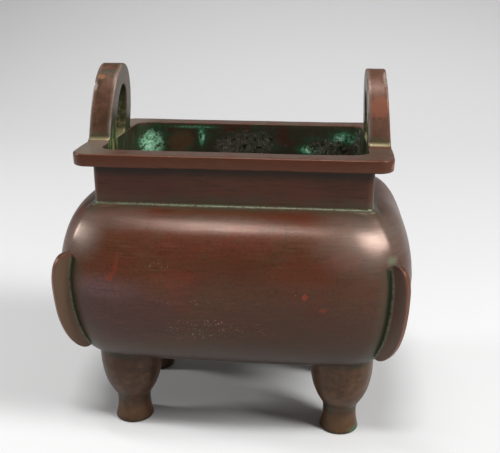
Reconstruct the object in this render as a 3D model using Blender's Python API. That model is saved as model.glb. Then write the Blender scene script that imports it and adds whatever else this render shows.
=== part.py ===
"""Rectangular bronze incense burner: one hollow casting with two loop ears, four fins and four legs.

Units are metres, +Z is up, X runs along the long side and Y through the depth.
The origin is on the table, under the middle of the vessel.
"""
import math

import bmesh
import bpy
from mathutils import Matrix, Vector

# Rim: the flat lip round the mouth
RIM_LENGTH = 0.1403
RIM_DEPTH = 0.0963
RIM_THICKNESS = 0.0056
RIM_CORNER_RADIUS = 0.0065
RIM_SIDE_BOW = 0.0014
RIM_BOW_POWER = 4.0
EDGE_ROUND = 0.0007

# Mouth: the opening inside the rim
MOUTH_LENGTH = 0.1192
MOUTH_DEPTH = 0.0752
MOUTH_CORNER_RADIUS = 0.0080

# Neck: the straight collar under the rim
NECK_LENGTH = 0.1236
NECK_DEPTH = 0.0818
NECK_HEIGHT = 0.0184
NECK_CORNER_RADIUS = 0.0030

# Belly: a cushion-shaped box, bowed on every side
BELLY_LENGTH = 0.1652
BELLY_DEPTH = 0.1292
BELLY_HEIGHT = 0.0740
BELLY_WIDEST_HEIGHT = 0.0422
BELLY_SQUARENESS = 4.3
UNDERSIDE_LENGTH = 0.1250
UNDERSIDE_DEPTH = 0.0824
UNDERSIDE_SQUARENESS = 7.0
SHOULDER_RISE_POWER = 1.63
SHOULDER_ROUND_POWER = 2.71
SHOULDER_SQUARENESS = 14.0
SHOULDER_SQUARING_POWER = 5.8
WALL = 0.0030
FLOOR = 0.0040

# Legs: turned cups on flared stems
LEG_HEIGHT = 0.0418
LEG_SPACING_X = 0.1040
LEG_SPACING_Y = 0.0536
LEG_CUP_RADIUS = 0.0152
LEG_CUP_BASE_HEIGHT = 0.0142
LEG_CUP_BASE_RADIUS = 0.0089
LEG_CUP_FALL_POWER = 3.1
LEG_CUP_ROUND_POWER = 1.0
LEG_WAIST_HEIGHT = 0.0098
LEG_WAIST_RADIUS = 0.0082
FOOT_RADIUS = 0.0095
FOOT_EDGE = 0.0006
LEG_ROOT = 0.0036

# Ears: upright loops on the two short sides of the rim
LEFT_EAR_HEIGHT = 0.0341
RIGHT_EAR_HEIGHT = 0.0329
EAR_WIDTH = 0.0374
EAR_ARCH_POWER = 2.0
EAR_FOOT_SPREAD = 0.0014
EAR_FOOT_HEIGHT = 0.0016
EAR_CROWN = 0.0100
EAR_OPENING_WIDTH = 0.0162
EAR_OPENING_POWER = 3.0
EAR_OUTER_LEAN = 0.092
LEFT_EAR_INNER_LEAN = 0.100
RIGHT_EAR_INNER_LEAN = 0.072
EAR_OUTER_SETBACK = 0.0002
EAR_INNER_SETBACK = 0.00015
EAR_EDGE = 0.0007
EAR_ROOT = 0.0020

# Fins: thin crescent flanges on the belly's four corners
FIN_THICKNESS = 0.0029
FIN_REACH = 0.0065
FIN_TOP_DROP = 0.0199
FIN_BOTTOM_RISE = 0.0075
FIN_PLAN_ANGLE = math.radians(46.0)
FIN_TOP_POWER = 6.0
FIN_BOTTOM_POWER = 2.0
FIN_EDGE = 0.0006
FIN_ROOT = 0.0014

# Facet counts
FLAT_STEPS = 3
CORNER_STEPS = 6
CORNER_START_ANGLE = math.radians(16.0)
SHOULDER_STEPS = 8
LOWER_STEPS = 8
INNER_STEPS = 6
LEG_SEGMENTS = 24
LEG_CUP_STEPS = 6
LEG_STEM_STEPS = 3
EAR_STEPS = 22
FIN_STEPS = 20
FIN_NORMAL_STEP = math.radians(0.5)
SHARP_ANGLE = math.radians(35.0)

# Heights worked out from the sizes above
UNDERSIDE_Z = LEG_HEIGHT
WIDEST_Z = UNDERSIDE_Z + BELLY_WIDEST_HEIGHT
SHOULDER_Z = UNDERSIDE_Z + BELLY_HEIGHT
RIM_UNDERSIDE_Z = SHOULDER_Z + NECK_HEIGHT
RIM_TOP_Z = RIM_UNDERSIDE_Z + RIM_THICKNESS

BRONZE_COLOUR = (0.115, 0.058, 0.040, 1.0)
BRONZE_ROUGHNESS = 0.42
BRONZE_METALLIC = 0.85


def rounded_quadrant(half_x, half_y, radius):
    """Quarter of a rectangle with round corners, from the +X side round to the +Y side."""
    points = []
    for step in range(FLAT_STEPS + 1):
        points.append((half_x, (half_y - radius) * step / FLAT_STEPS))
    for step in range(1, CORNER_STEPS):
        angle = 0.5 * math.pi * step / CORNER_STEPS
        x = half_x - radius + radius * math.cos(angle)
        y = half_y - radius + radius * math.sin(angle)
        points.append((x, y))
    for step in range(FLAT_STEPS + 1):
        points.append(((half_x - radius) * (1.0 - step / FLAT_STEPS), half_y))
    return points


def bowed_point(half_x, half_y, squareness, normal_angle):
    """Point of a bowed rectangle whose outward normal makes this angle with +X."""
    ratio = (half_y * math.tan(normal_angle) / half_x) ** (1.0 / (squareness - 1.0))
    share = (1.0 + ratio ** squareness) ** (-1.0 / squareness)
    return half_x * share, half_y * ratio * share


def bowed_quadrant(half_x, half_y, squareness):
    """Quarter of a bowed rectangle with as many points as rounded_quadrant gives."""
    points = []
    start = bowed_point(half_x, half_y, squareness, CORNER_START_ANGLE)
    end = bowed_point(half_x, half_y, squareness, 0.5 * math.pi - CORNER_START_ANGLE)
    for step in range(FLAT_STEPS + 1):
        y = start[1] * step / FLAT_STEPS
        x = half_x * (1.0 - (y / half_y) ** squareness) ** (1.0 / squareness)
        points.append((x, y))
    for step in range(1, CORNER_STEPS):
        share = step / CORNER_STEPS
        angle = CORNER_START_ANGLE * (1.0 - share) + (0.5 * math.pi - CORNER_START_ANGLE) * share
        points.append(bowed_point(half_x, half_y, squareness, angle))
    for step in range(FLAT_STEPS + 1):
        x = end[0] * (1.0 - step / FLAT_STEPS)
        y = half_y * (1.0 - (x / half_x) ** squareness) ** (1.0 / squareness)
        points.append((x, y))
    return points


def bow_short_sides(quadrant):
    """Draw the rim's corners in a little, so that its short sides bow outward."""
    half_x, half_y = quadrant[0][0], quadrant[-1][1]
    bowed = []
    for x, y in quadrant:
        bowed.append((x - RIM_SIDE_BOW * (y / half_y) ** RIM_BOW_POWER * x / half_x, y))
    return bowed


def full_ring(quadrant, z):
    """Mirror a quarter outline round to a closed ring at height z."""
    forward = quadrant[:-1]
    backward = quadrant[:0:-1]
    ring = [(x, y, z) for x, y in forward]
    ring += [(-x, y, z) for x, y in backward]
    ring += [(-x, -y, z) for x, y in forward]
    ring += [(x, -y, z) for x, y in backward]
    return ring


def shoulder_share(angle):
    """How far out and how far up the shoulder is at this angle, both from 0 to 1."""
    up = math.sin(angle)
    out = max(0.0, 1.0 - up ** SHOULDER_RISE_POWER) ** (1.0 / SHOULDER_ROUND_POWER)
    return out, up


def belly_section(angle):
    """Half sizes, squareness and height of the belly's outside.

    The angle is 90 degrees at the neck, 0 at the widest level and -90 at the underside.
    """
    if angle >= 0.0:
        out, up = shoulder_share(angle)
        half_x = 0.5 * (NECK_LENGTH + (BELLY_LENGTH - NECK_LENGTH) * out)
        half_y = 0.5 * (NECK_DEPTH + (BELLY_DEPTH - NECK_DEPTH) * out)
        squaring = (1.0 - out) ** SHOULDER_SQUARING_POWER
        squareness = BELLY_SQUARENESS + (SHOULDER_SQUARENESS - BELLY_SQUARENESS) * squaring
        z = WIDEST_Z + (SHOULDER_Z - WIDEST_Z) * up
        return half_x, half_y, squareness, z
    out = math.cos(angle)
    half_x = 0.5 * (UNDERSIDE_LENGTH + (BELLY_LENGTH - UNDERSIDE_LENGTH) * out)
    half_y = 0.5 * (UNDERSIDE_DEPTH + (BELLY_DEPTH - UNDERSIDE_DEPTH) * out)
    squareness = UNDERSIDE_SQUARENESS + (BELLY_SQUARENESS - UNDERSIDE_SQUARENESS) * out
    z = WIDEST_Z + (WIDEST_Z - UNDERSIDE_Z) * math.sin(angle)
    return half_x, half_y, squareness, z


def belly_ring(angle):
    """Closed ring on the belly's outside."""
    half_x, half_y, squareness, z = belly_section(angle)
    return full_ring(bowed_quadrant(half_x, half_y, squareness), z)


def outer_rings():
    """Rings of the vessel's outside, from the underside up to the top of the rim."""
    rings = []
    for step in range(LOWER_STEPS):
        rings.append(belly_ring(-0.5 * math.pi * (1.0 - step / LOWER_STEPS)))
    for step in range(SHOULDER_STEPS):
        rings.append(belly_ring(0.5 * math.pi * step / SHOULDER_STEPS))
    neck = rounded_quadrant(0.5 * NECK_LENGTH, 0.5 * NECK_DEPTH, NECK_CORNER_RADIUS)
    rings.append(full_ring(neck, SHOULDER_Z))
    rings.append(full_ring(neck, RIM_UNDERSIDE_Z))
    rim = bow_short_sides(
        rounded_quadrant(0.5 * RIM_LENGTH, 0.5 * RIM_DEPTH, RIM_CORNER_RADIUS)
    )
    rim_inset = bow_short_sides(
        rounded_quadrant(
            0.5 * RIM_LENGTH - EDGE_ROUND,
            0.5 * RIM_DEPTH - EDGE_ROUND,
            RIM_CORNER_RADIUS - EDGE_ROUND,
        )
    )
    rings.append(full_ring(rim_inset, RIM_UNDERSIDE_Z))
    rings.append(full_ring(rim, RIM_UNDERSIDE_Z + EDGE_ROUND))
    rings.append(full_ring(rim, RIM_TOP_Z - EDGE_ROUND))
    rings.append(full_ring(rim_inset, RIM_TOP_Z))
    return rings


def inner_rings():
    """Rings of the vessel's inside, from the mouth's edge down to the floor."""
    mouth = rounded_quadrant(0.5 * MOUTH_LENGTH, 0.5 * MOUTH_DEPTH, MOUTH_CORNER_RADIUS)
    mouth_edge = rounded_quadrant(
        0.5 * MOUTH_LENGTH + EDGE_ROUND,
        0.5 * MOUTH_DEPTH + EDGE_ROUND,
        MOUTH_CORNER_RADIUS + EDGE_ROUND,
    )
    ceiling_z = SHOULDER_Z - WALL
    floor_z = UNDERSIDE_Z + FLOOR
    rings = [
        full_ring(mouth_edge, RIM_TOP_Z),
        full_ring(mouth, RIM_TOP_Z - EDGE_ROUND),
        full_ring(mouth, ceiling_z),
    ]
    belly_x = 0.5 * BELLY_LENGTH - WALL
    belly_y = 0.5 * BELLY_DEPTH - WALL
    for step in range(1, INNER_STEPS + 1):
        out, up = shoulder_share(0.5 * math.pi * (1.0 - step / INNER_STEPS))
        half_x = 0.5 * MOUTH_LENGTH + (belly_x - 0.5 * MOUTH_LENGTH) * out
        half_y = 0.5 * MOUTH_DEPTH + (belly_y - 0.5 * MOUTH_DEPTH) * out
        z = WIDEST_Z + (ceiling_z - WIDEST_Z) * up
        rings.append(full_ring(bowed_quadrant(half_x, half_y, BELLY_SQUARENESS), z))
    floor_x = 0.5 * UNDERSIDE_LENGTH - WALL
    floor_y = 0.5 * UNDERSIDE_DEPTH - WALL
    for step in range(1, INNER_STEPS + 1):
        angle = 0.5 * math.pi * step / INNER_STEPS
        out = math.cos(angle)
        half_x = floor_x + (belly_x - floor_x) * out
        half_y = floor_y + (belly_y - floor_y) * out
        squareness = UNDERSIDE_SQUARENESS + (BELLY_SQUARENESS - UNDERSIDE_SQUARENESS) * out
        z = WIDEST_Z - (WIDEST_Z - floor_z) * math.sin(angle)
        rings.append(full_ring(bowed_quadrant(half_x, half_y, squareness), z))
    return rings


def loft(mesh, rings):
    """Skin closed rings in order and cap the first and the last."""
    loops = [[mesh.verts.new(point) for point in ring] for ring in rings]
    count = len(loops[0])
    for lower, upper in zip(loops, loops[1:]):
        for index in range(count):
            after = (index + 1) % count
            mesh.faces.new((lower[index], lower[after], upper[after], upper[index]))
    mesh.faces.new(reversed(loops[0]))
    mesh.faces.new(loops[-1])


def vessel_mesh():
    """Belly, neck and rim as one hollow skin."""
    mesh = bmesh.new()
    loft(mesh, outer_rings() + inner_rings())
    return mesh


def leg_profile():
    """Radius and height along a leg, from the middle of the foot up to its root."""
    profile = [
        (FOOT_RADIUS - FOOT_EDGE, 0.0),
        (FOOT_RADIUS, FOOT_EDGE),
    ]
    for step in range(1, LEG_STEM_STEPS + 1):
        share = 1.0 - step / LEG_STEM_STEPS
        radius = LEG_WAIST_RADIUS + (FOOT_RADIUS - LEG_WAIST_RADIUS) * share ** 2
        profile.append((radius, LEG_WAIST_HEIGHT + (FOOT_EDGE - LEG_WAIST_HEIGHT) * share))
    for step in range(1, LEG_STEM_STEPS):
        share = step / LEG_STEM_STEPS
        radius = LEG_WAIST_RADIUS + (LEG_CUP_BASE_RADIUS - LEG_WAIST_RADIUS) * share ** 2
        height = LEG_WAIST_HEIGHT + (LEG_CUP_BASE_HEIGHT - LEG_WAIST_HEIGHT) * share
        profile.append((radius, height))
    cup_top = LEG_HEIGHT
    for step in range(LEG_CUP_STEPS + 1):
        fall = math.cos(0.5 * math.pi * step / LEG_CUP_STEPS)
        swell = max(0.0, 1.0 - fall ** LEG_CUP_FALL_POWER) ** LEG_CUP_ROUND_POWER
        radius = LEG_CUP_BASE_RADIUS + (LEG_CUP_RADIUS - LEG_CUP_BASE_RADIUS) * swell
        profile.append((radius, cup_top - (cup_top - LEG_CUP_BASE_HEIGHT) * fall))
    profile.append((LEG_CUP_RADIUS, LEG_HEIGHT + LEG_ROOT))
    return profile


def leg_mesh():
    """One turned leg standing on the origin."""
    mesh = bmesh.new()
    rings = []
    for radius, height in leg_profile():
        ring = []
        for segment in range(LEG_SEGMENTS):
            angle = 2.0 * math.pi * (segment + 0.5) / LEG_SEGMENTS
            ring.append((radius * math.cos(angle), radius * math.sin(angle), height))
        rings.append(ring)
    loft(mesh, rings)
    return mesh


def ear_outline(step, ear_height):
    """Place and height of a point of the ear's outside, from the front foot over to the back."""
    angle = math.pi * step / EAR_STEPS
    height = ear_height * math.sin(angle)
    rise = math.sin(angle) ** EAR_ARCH_POWER
    half = 0.5 * EAR_WIDTH * max(0.0, 1.0 - rise) ** 0.5
    half += EAR_FOOT_SPREAD * max(0.0, 1.0 - height / EAR_FOOT_HEIGHT)
    return -math.copysign(half, math.cos(angle)), height


def ear_opening(step, ear_height):
    """Place and height of the point of the ear's opening at the same step."""
    angle = math.pi * step / EAR_STEPS
    height = (ear_height - EAR_CROWN) * math.sin(angle)
    rise = math.sin(angle) ** EAR_OPENING_POWER
    half = 0.5 * EAR_OPENING_WIDTH * max(0.0, 1.0 - rise) ** 0.5
    return -math.copysign(half, math.cos(angle)), height


def ear_section(outer, inner, inner_lean):
    """Eight-sided section of the loop between one outside and one opening point."""
    outer_edge = 0.5 * RIM_LENGTH - EAR_OUTER_SETBACK
    inner_edge = 0.5 * MOUTH_LENGTH + EAR_INNER_SETBACK
    section = []
    along_y = inner[0] - outer[0]
    along_z = inner[1] - outer[1]
    length = math.hypot(along_y, along_z)
    corners = [
        (0.0, -EAR_EDGE),
        (EAR_EDGE, 0.0),
        (length - EAR_EDGE, 0.0),
        (length, -EAR_EDGE),
    ]
    rows = []
    for across, inset in corners:
        share = across / length
        rows.append((outer[0] + along_y * share, outer[1] + along_z * share, inset))
    for y, z, inset in rows:
        x = outer_edge - EAR_OUTER_LEAN * max(0.0, z) + inset
        section.append((x, y, z))
    for y, z, inset in reversed(rows):
        x = inner_edge - inner_lean * max(0.0, z) - inset
        section.append((x, y, z))
    return section


def ear_mesh(ear_height, inner_lean):
    """Loop ear on the +X side of the rim, with its feet sunk into the rim."""
    mesh = bmesh.new()
    pairs = []
    for step in range(EAR_STEPS + 1):
        pairs.append((ear_outline(step, ear_height), ear_opening(step, ear_height)))
    front, back = pairs[0], pairs[-1]
    pairs.insert(0, ((front[0][0], -EAR_ROOT), (front[1][0], -EAR_ROOT)))
    pairs.append(((back[0][0], -EAR_ROOT), (back[1][0], -EAR_ROOT)))
    loft(mesh, [ear_section(outer, inner, inner_lean) for outer, inner in pairs])
    bmesh.ops.translate(mesh, verts=mesh.verts, vec=(0.0, 0.0, RIM_TOP_Z))
    return mesh


def belly_corner_point(angle):
    """Distance from the axis and height of the belly's outside in the fin's upright plane."""
    half_x, half_y, squareness, z = belly_section(angle)
    x, y = bowed_point(half_x, half_y, squareness, FIN_PLAN_ANGLE)
    return Vector((x * math.cos(FIN_PLAN_ANGLE) + y * math.sin(FIN_PLAN_ANGLE), z))


def fin_reach(place):
    """How far the fin stands out, at a place from -1 at its bottom end to 1 at its top end."""
    power = FIN_TOP_POWER if place > 0.0 else FIN_BOTTOM_POWER
    return FIN_REACH * max(0.0, 1.0 - abs(place) ** power) ** 0.5


def fin_mesh():
    """Fin for the +X +Y corner: a plate whose outline follows the belly's corner."""
    bottom_sine = (FIN_BOTTOM_RISE - BELLY_WIDEST_HEIGHT) / BELLY_WIDEST_HEIGHT
    top_sine = (SHOULDER_Z - FIN_TOP_DROP - WIDEST_Z) / (SHOULDER_Z - WIDEST_Z)
    bottom_angle = math.asin(bottom_sine)
    top_angle = math.asin(top_sine)
    direction = Vector((math.cos(FIN_PLAN_ANGLE), math.sin(FIN_PLAN_ANGLE), 0.0))
    side = Vector((-math.sin(FIN_PLAN_ANGLE), math.cos(FIN_PLAN_ANGLE), 0.0))
    widest = bowed_point(0.5 * BELLY_LENGTH, 0.5 * BELLY_DEPTH, BELLY_SQUARENESS, FIN_PLAN_ANGLE)
    offset = Vector((widest[0], widest[1], 0.0)).dot(side)
    half = 0.5 * FIN_THICKNESS
    sections = []
    for step in range(FIN_STEPS + 1):
        place = -math.cos(math.pi * step / FIN_STEPS)
        angle = 0.5 * (bottom_angle + top_angle + (top_angle - bottom_angle) * place)
        base = belly_corner_point(angle)
        tangent = belly_corner_point(angle + FIN_NORMAL_STEP) - base
        normal = Vector((tangent.y, -tangent.x)).normalized()
        root = base - normal * FIN_ROOT
        shoulder = base + normal * fin_reach(place)
        tip = shoulder + normal * FIN_EDGE
        section = []
        for point, across in (
            (root, -half),
            (shoulder, -half),
            (tip, FIN_EDGE - half),
            (tip, half - FIN_EDGE),
            (shoulder, half),
            (root, half),
        ):
            corner = direction * point.x + side * (across + offset)
            section.append((corner.x, corner.y, point.y))
        sections.append(section)
    mesh = bmesh.new()
    loft(mesh, sections)
    return mesh


def bronze_material():
    """Dark reddish-brown patinated bronze."""
    material = bpy.data.materials.new("patinated_bronze")
    material.use_nodes = True
    shader = material.node_tree.nodes["Principled BSDF"]
    shader.inputs["Base Color"].default_value = BRONZE_COLOUR
    shader.inputs["Roughness"].default_value = BRONZE_ROUGHNESS
    shader.inputs["Metallic"].default_value = BRONZE_METALLIC
    return material


def add_object(name, mesh, material):
    """Turn a bmesh into a scene object whose faces point outward."""
    bmesh.ops.recalc_face_normals(mesh, faces=mesh.faces)
    data = bpy.data.meshes.new(name)
    mesh.to_mesh(data)
    mesh.free()
    data.materials.append(material)
    data.shade_smooth()
    data.set_sharp_from_angle(angle=SHARP_ANGLE)
    item = bpy.data.objects.new(name, data)
    bpy.context.scene.collection.objects.link(item)
    return item


def weld_on(vessel, piece):
    """Join a cast-on form to the vessel and hide the helper."""
    union = vessel.modifiers.new(piece.name, "BOOLEAN")
    union.operation = "UNION"
    union.solver = "EXACT"
    union.object = piece
    piece.hide_render = True
    piece.display_type = "WIRE"


def mirrored(mesh, sign_x, sign_y):
    """Copy a bmesh to the corner with these signs."""
    copy = mesh.copy()
    bmesh.ops.transform(copy, matrix=Matrix.Diagonal((sign_x, sign_y, 1.0, 1.0)), verts=copy.verts)
    return copy


def main():
    """Build the whole casting."""
    for old in list(bpy.data.objects):
        bpy.data.objects.remove(old)
    bronze = bronze_material()
    vessel = add_object("incense_burner", vessel_mesh(), bronze)
    corners = [(x, y) for x in (-1.0, 1.0) for y in (-1.0, 1.0)]
    leg = leg_mesh()
    fin = fin_mesh()
    for number, (sign_x, sign_y) in enumerate(corners, start=1):
        leg_copy = leg.copy()
        place = (sign_x * 0.5 * LEG_SPACING_X, sign_y * 0.5 * LEG_SPACING_Y, 0.0)
        bmesh.ops.translate(leg_copy, verts=leg_copy.verts, vec=place)
        weld_on(vessel, add_object(f"leg_{number}", leg_copy, bronze))
        weld_on(vessel, add_object(f"fin_{number}", mirrored(fin, sign_x, sign_y), bronze))
    left_ear = mirrored(ear_mesh(LEFT_EAR_HEIGHT, LEFT_EAR_INNER_LEAN), -1.0, 1.0)
    right_ear = ear_mesh(RIGHT_EAR_HEIGHT, RIGHT_EAR_INNER_LEAN)
    weld_on(vessel, add_object("left_ear", left_ear, bronze))
    weld_on(vessel, add_object("right_ear", right_ear, bronze))


main()
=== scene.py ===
import math

import bmesh
import bpy
import numpy as np
from mathutils import Matrix, Vector, noise


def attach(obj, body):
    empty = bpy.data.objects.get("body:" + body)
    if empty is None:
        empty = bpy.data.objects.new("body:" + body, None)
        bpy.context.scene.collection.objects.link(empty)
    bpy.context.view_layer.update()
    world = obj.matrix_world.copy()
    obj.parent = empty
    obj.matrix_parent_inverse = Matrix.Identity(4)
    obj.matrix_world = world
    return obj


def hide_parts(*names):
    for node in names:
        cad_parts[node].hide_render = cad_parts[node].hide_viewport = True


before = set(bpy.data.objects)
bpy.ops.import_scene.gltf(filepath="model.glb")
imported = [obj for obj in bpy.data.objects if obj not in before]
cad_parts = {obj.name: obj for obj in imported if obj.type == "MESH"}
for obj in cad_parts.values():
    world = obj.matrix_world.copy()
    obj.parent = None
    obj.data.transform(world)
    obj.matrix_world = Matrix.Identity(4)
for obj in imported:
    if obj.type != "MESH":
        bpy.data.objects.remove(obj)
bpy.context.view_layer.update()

# Camera at the photograph's viewing angle
CAMERA_PLACE = (0.03593, -0.33620, 0.20296)
CAMERA_PITCH = math.radians(17.87)
CAMERA_YAW = math.radians(-5.35)
CAMERA_ROLL = math.radians(-0.24)
CAMERA_LENS_MM = 50.67
CAMERA_SENSOR_MM = 36.0

# Rim, mouth and neck, as in the casting
RIM_LENGTH = 0.1403
RIM_DEPTH = 0.0963
RIM_THICKNESS = 0.0056
RIM_CORNER_RADIUS = 0.0065
RIM_SIDE_BOW = 0.0014
RIM_BOW_POWER = 4.0
EDGE_ROUND = 0.0008
MOUTH_LENGTH = 0.1192
MOUTH_DEPTH = 0.0752
MOUTH_CORNER_RADIUS = 0.0080
NECK_LENGTH = 0.1236
NECK_DEPTH = 0.0818
NECK_HEIGHT = 0.0184
NECK_CORNER_RADIUS = 0.0030
NECK_FOOT_FILLET = 0.0016
NECK_HEAD_FILLET = 0.0007

# Belly
BELLY_LENGTH = 0.1652
BELLY_DEPTH = 0.1292
BELLY_HEIGHT = 0.0740
BELLY_WIDEST_HEIGHT = 0.0422
BELLY_SQUARENESS = 4.3
UNDERSIDE_LENGTH = 0.1250
UNDERSIDE_DEPTH = 0.0824
UNDERSIDE_SQUARENESS = 7.0
SHOULDER_RISE_POWER = 1.63
SHOULDER_ROUND_POWER = 2.71
SHOULDER_BLEND = 0.34
SHOULDER_END = 0.10
WALL = 0.0030
FLOOR = 0.0040

# Where the shoulder is pushed out so that the neck's foot flares into it
NECK_FOOT_FLARE = 0.9
NECK_FOOT_REACH = 0.0045
NECK_FOOT_SOFTNESS = 0.0012
NECK_FOOT_LEAST_PUSH = 0.00006

# Legs
LEG_HEIGHT = 0.0418
LEG_SPACING_X = 0.1040
LEG_SPACING_Y = 0.0536
LEG_CUP_RADIUS = 0.0152
LEG_CUP_BASE_HEIGHT = 0.0142
LEG_CUP_BASE_RADIUS = 0.0089
LEG_CUP_FALL_POWER = 3.1
LEG_CUP_ROUND_POWER = 1.0
LEG_WAIST_HEIGHT = 0.0098
LEG_WAIST_RADIUS = 0.0082
FOOT_RADIUS = 0.0095
FOOT_EDGE = 0.0007
LEG_ROOT = 0.0036
LEG_FLARE = 0.0012
LEG_FLARE_HEIGHT = 0.0030

# Ears
LEFT_EAR_HEIGHT = 0.0341
RIGHT_EAR_HEIGHT = 0.0329
EAR_WIDTH = 0.0374
EAR_FOOT_SPREAD = 0.0017
EAR_FOOT_HEIGHT = 0.0026
EAR_CROWN = 0.0100
EAR_OPENING_WIDTH = 0.0162
EAR_OPENING_POWER = 3.0
EAR_OUTER_LEAN = 0.092
LEFT_EAR_INNER_LEAN = 0.100
RIGHT_EAR_INNER_LEAN = 0.072
EAR_OUTER_SETBACK = 0.0002
EAR_INNER_SETBACK = 0.00015
EAR_EDGE = 0.0010
EAR_ROOT = 0.0020

# Fins
FIN_THICKNESS = 0.0029
FIN_REACH = 0.0065
FIN_TOP_DROP = 0.0199
FIN_BOTTOM_RISE = 0.0075
FIN_PLAN_ANGLE = math.radians(46.0)
FIN_TOP_POWER = 6.0
FIN_BOTTOM_POWER = 2.0
FIN_EDGE = 0.0006
FIN_ROOT = 0.0014
FIN_FILLET = 0.0007
FIN_NORMAL_STEP = math.radians(0.5)

# Heights worked out from the sizes above
UNDERSIDE_Z = LEG_HEIGHT
WIDEST_Z = UNDERSIDE_Z + BELLY_WIDEST_HEIGHT
SHOULDER_Z = UNDERSIDE_Z + BELLY_HEIGHT
RIM_UNDERSIDE_Z = SHOULDER_Z + NECK_HEIGHT
RIM_TOP_Z = RIM_UNDERSIDE_Z + RIM_THICKNESS
CEILING_Z = SHOULDER_Z - WALL
FLOOR_Z = UNDERSIDE_Z + FLOOR
FIN_BOTTOM_Z = UNDERSIDE_Z + FIN_BOTTOM_RISE
FIN_TOP_Z = SHOULDER_Z - FIN_TOP_DROP

# Mesh density
FLAT_STEPS = 14
CORNER_STEPS = 22
CORNER_START_ANGLE = math.radians(16.0)
LOWER_STEPS = 34
SHOULDER_STEPS = 40
INNER_STEPS = 18
CAP_STEPS = 5
ARC_STEPS = 4
NECK_WALL_STEPS = 10
RIM_TOP_STEPS = 8
MOUTH_WALL_STEPS = 12
STEM_STEPS = 10
CUP_STEPS = 30
LEG_ROOT_STEPS = 5
LEG_SEGMENTS = 56
EAR_STEPS = 64
EAR_FOOT_STEPS = 6
EAR_SIDE_STEPS = 7
FIN_STEPS = 44
FIN_SIDE_STEPS = 5

QUARTER_TURN = 0.5 * math.pi
SHARP_ANGLE = math.radians(40.0)

# Hand-cast unevenness and chips, as place, radius and depth
UNEVEN_SLOW = 0.00022
UNEVEN_SLOW_SCALE = 38.0
UNEVEN_QUICK = 0.00006
UNEVEN_QUICK_SCALE = 160.0
UNEVEN_FADE = 0.004
CHIP_SCALE = 900.0
CHIP_RAGGED = 0.5
CHIPS = (
    ((-0.0668, -0.0124, 0.1655), 0.0016, 0.0007),
    ((-0.0670, -0.0140, 0.1635), 0.0012, 0.0005),
    ((0.0668, -0.0069, 0.1705), 0.0022, 0.0008),
    ((0.0668, -0.0095, 0.1690), 0.0014, 0.0005),
    ((0.0500, -0.0481, 0.1394), 0.0013, 0.0004),
)

# Low ridge from a fin's top up to the neck's corner
HIP_RISE = 0.00060
HIP_WIDTH = 0.0085
HIP_LOW_START = 0.0010
HIP_LOW_FADE = 0.0050
HIP_HIGH_END = 0.0005
HIP_HIGH_FADE = 0.0025

# How far edges bend away from a point before it starts to look worn, and when it is fully worn
EDGE_BEND_START = 0.035
EDGE_BEND_FULL = 0.110

# Gloss of the waxed patina
BRONZE_METALLIC = 0.16
BRONZE_SPECULAR = 0.20
WAX_WEIGHT = 0.06
WAX_ROUGHNESS = 0.20
WORN_METALLIC = 0.60
WORN_ROUGHNESS = 0.38
BUMP_DEPTH = 0.00012


def paint(red, green, blue):
    """Colour from 0 to 255 numbers, in the renderer's linear scale."""
    linear = []
    for value in (red, green, blue):
        share = value / 255.0
        linear.append(share / 12.92 if share < 0.04045 else ((share + 0.055) / 1.055) ** 2.4)
    return tuple(linear) + (1.0,)


# Colours of the patina
WARM_BROWN = paint(90, 53, 34)
RED_BROWN = paint(94, 48, 32)
OLIVE_BROWN = paint(70, 54, 38)
PURPLE_BROWN = paint(80, 49, 45)
LIGHT_BROWN = paint(112, 78, 58)
DEEP_BROWN = paint(50, 30, 20)
LOW_BROWN = paint(50, 36, 25)
# Painted shade colour for the belly's lower curve
UNDERSIDE_SHADE_BROWN = paint(38, 22, 14)
PAINTED_PURPLE_REFLECTION = paint(108, 80, 82)
NECK_PURPLE = paint(84, 48, 44)
NECK_BROWN = paint(96, 60, 42)
STEM_BROWN = paint(100, 73, 49)
LEG_BROWN = paint(72, 46, 30)
RED_SCUFF = paint(126, 54, 34)
PALE_SPECK = paint(150, 134, 112)
# Pale worn colour, also used to paint highlights on the shoulder and the ear's arch
PALE_WEAR_AND_HIGHLIGHT = paint(162, 151, 142)
EDGE_COPPER = paint(106, 66, 48)
RIM_RED = paint(75, 40, 25)
RIM_MAUVE = paint(94, 77, 66)
RIM_GREY = paint(124, 112, 98)
EAR_PINK = paint(116, 84, 70)
EAR_RED = paint(144, 88, 68)
EAR_BROWN = paint(92, 68, 53)
COPPER_PATCH_AND_GLINT = paint(150, 100, 66)
OLIVE_GREY = paint(72, 72, 56)
OLIVE_GREEN = paint(84, 88, 62)
PALE_GREEN = paint(118, 130, 104)
DARK_GREEN = paint(32, 44, 32)
KNEE_GREEN = paint(46, 54, 42)
FOOT_GREEN = paint(72, 100, 72)
DARK_CRUST_AND_SHADE = paint(32, 30, 24)
FIN_OLIVE = paint(92, 69, 52)
FIN_PURPLE = paint(92, 70, 61)
PALE_YELLOW = paint(150, 140, 100)
YELLOW_GREEN = paint(98, 118, 66)
HOLLOW_DARK = paint(48, 46, 32)
HOLLOW_RED = paint(64, 34, 24)
HOLLOW_GREEN = paint(40, 76, 50)
HOLLOW_LEFT = paint(84, 60, 38)
TURQUOISE = paint(146, 206, 164)
BRIGHT_GREEN = paint(78, 152, 108)
PALE_MINT = paint(206, 236, 220)
# Dark crust colour under the rim, also painting the shade there
CRUST_GREY = paint(70, 64, 56)
BLACK_CRUST = paint(20, 22, 18)

# Single places of a tone, as centre and radii
PURPLE_PLACE = ((-0.0480, -0.0620, 0.0710), (0.0340, 0.030, 0.0200))
# Place of the painted reflection on the belly's left front
PAINTED_REFLECTION_PLACE = ((-0.0560, -0.0620, 0.0835), (0.0260, 0.030, 0.0090))
FIN_TOP_DIRT = ((0.0700, -0.0515, 0.0974), (0.0048, 0.0048, 0.0030))
GREEN_FOOT = ((0.0600, -0.0310, 0.0012), (0.0060, 0.008, 0.0020))
RED_HOLLOW_PLACE = ((-0.0370, 0.0376, 0.1290), (0.0090, 0.01, 0.0080))

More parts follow.
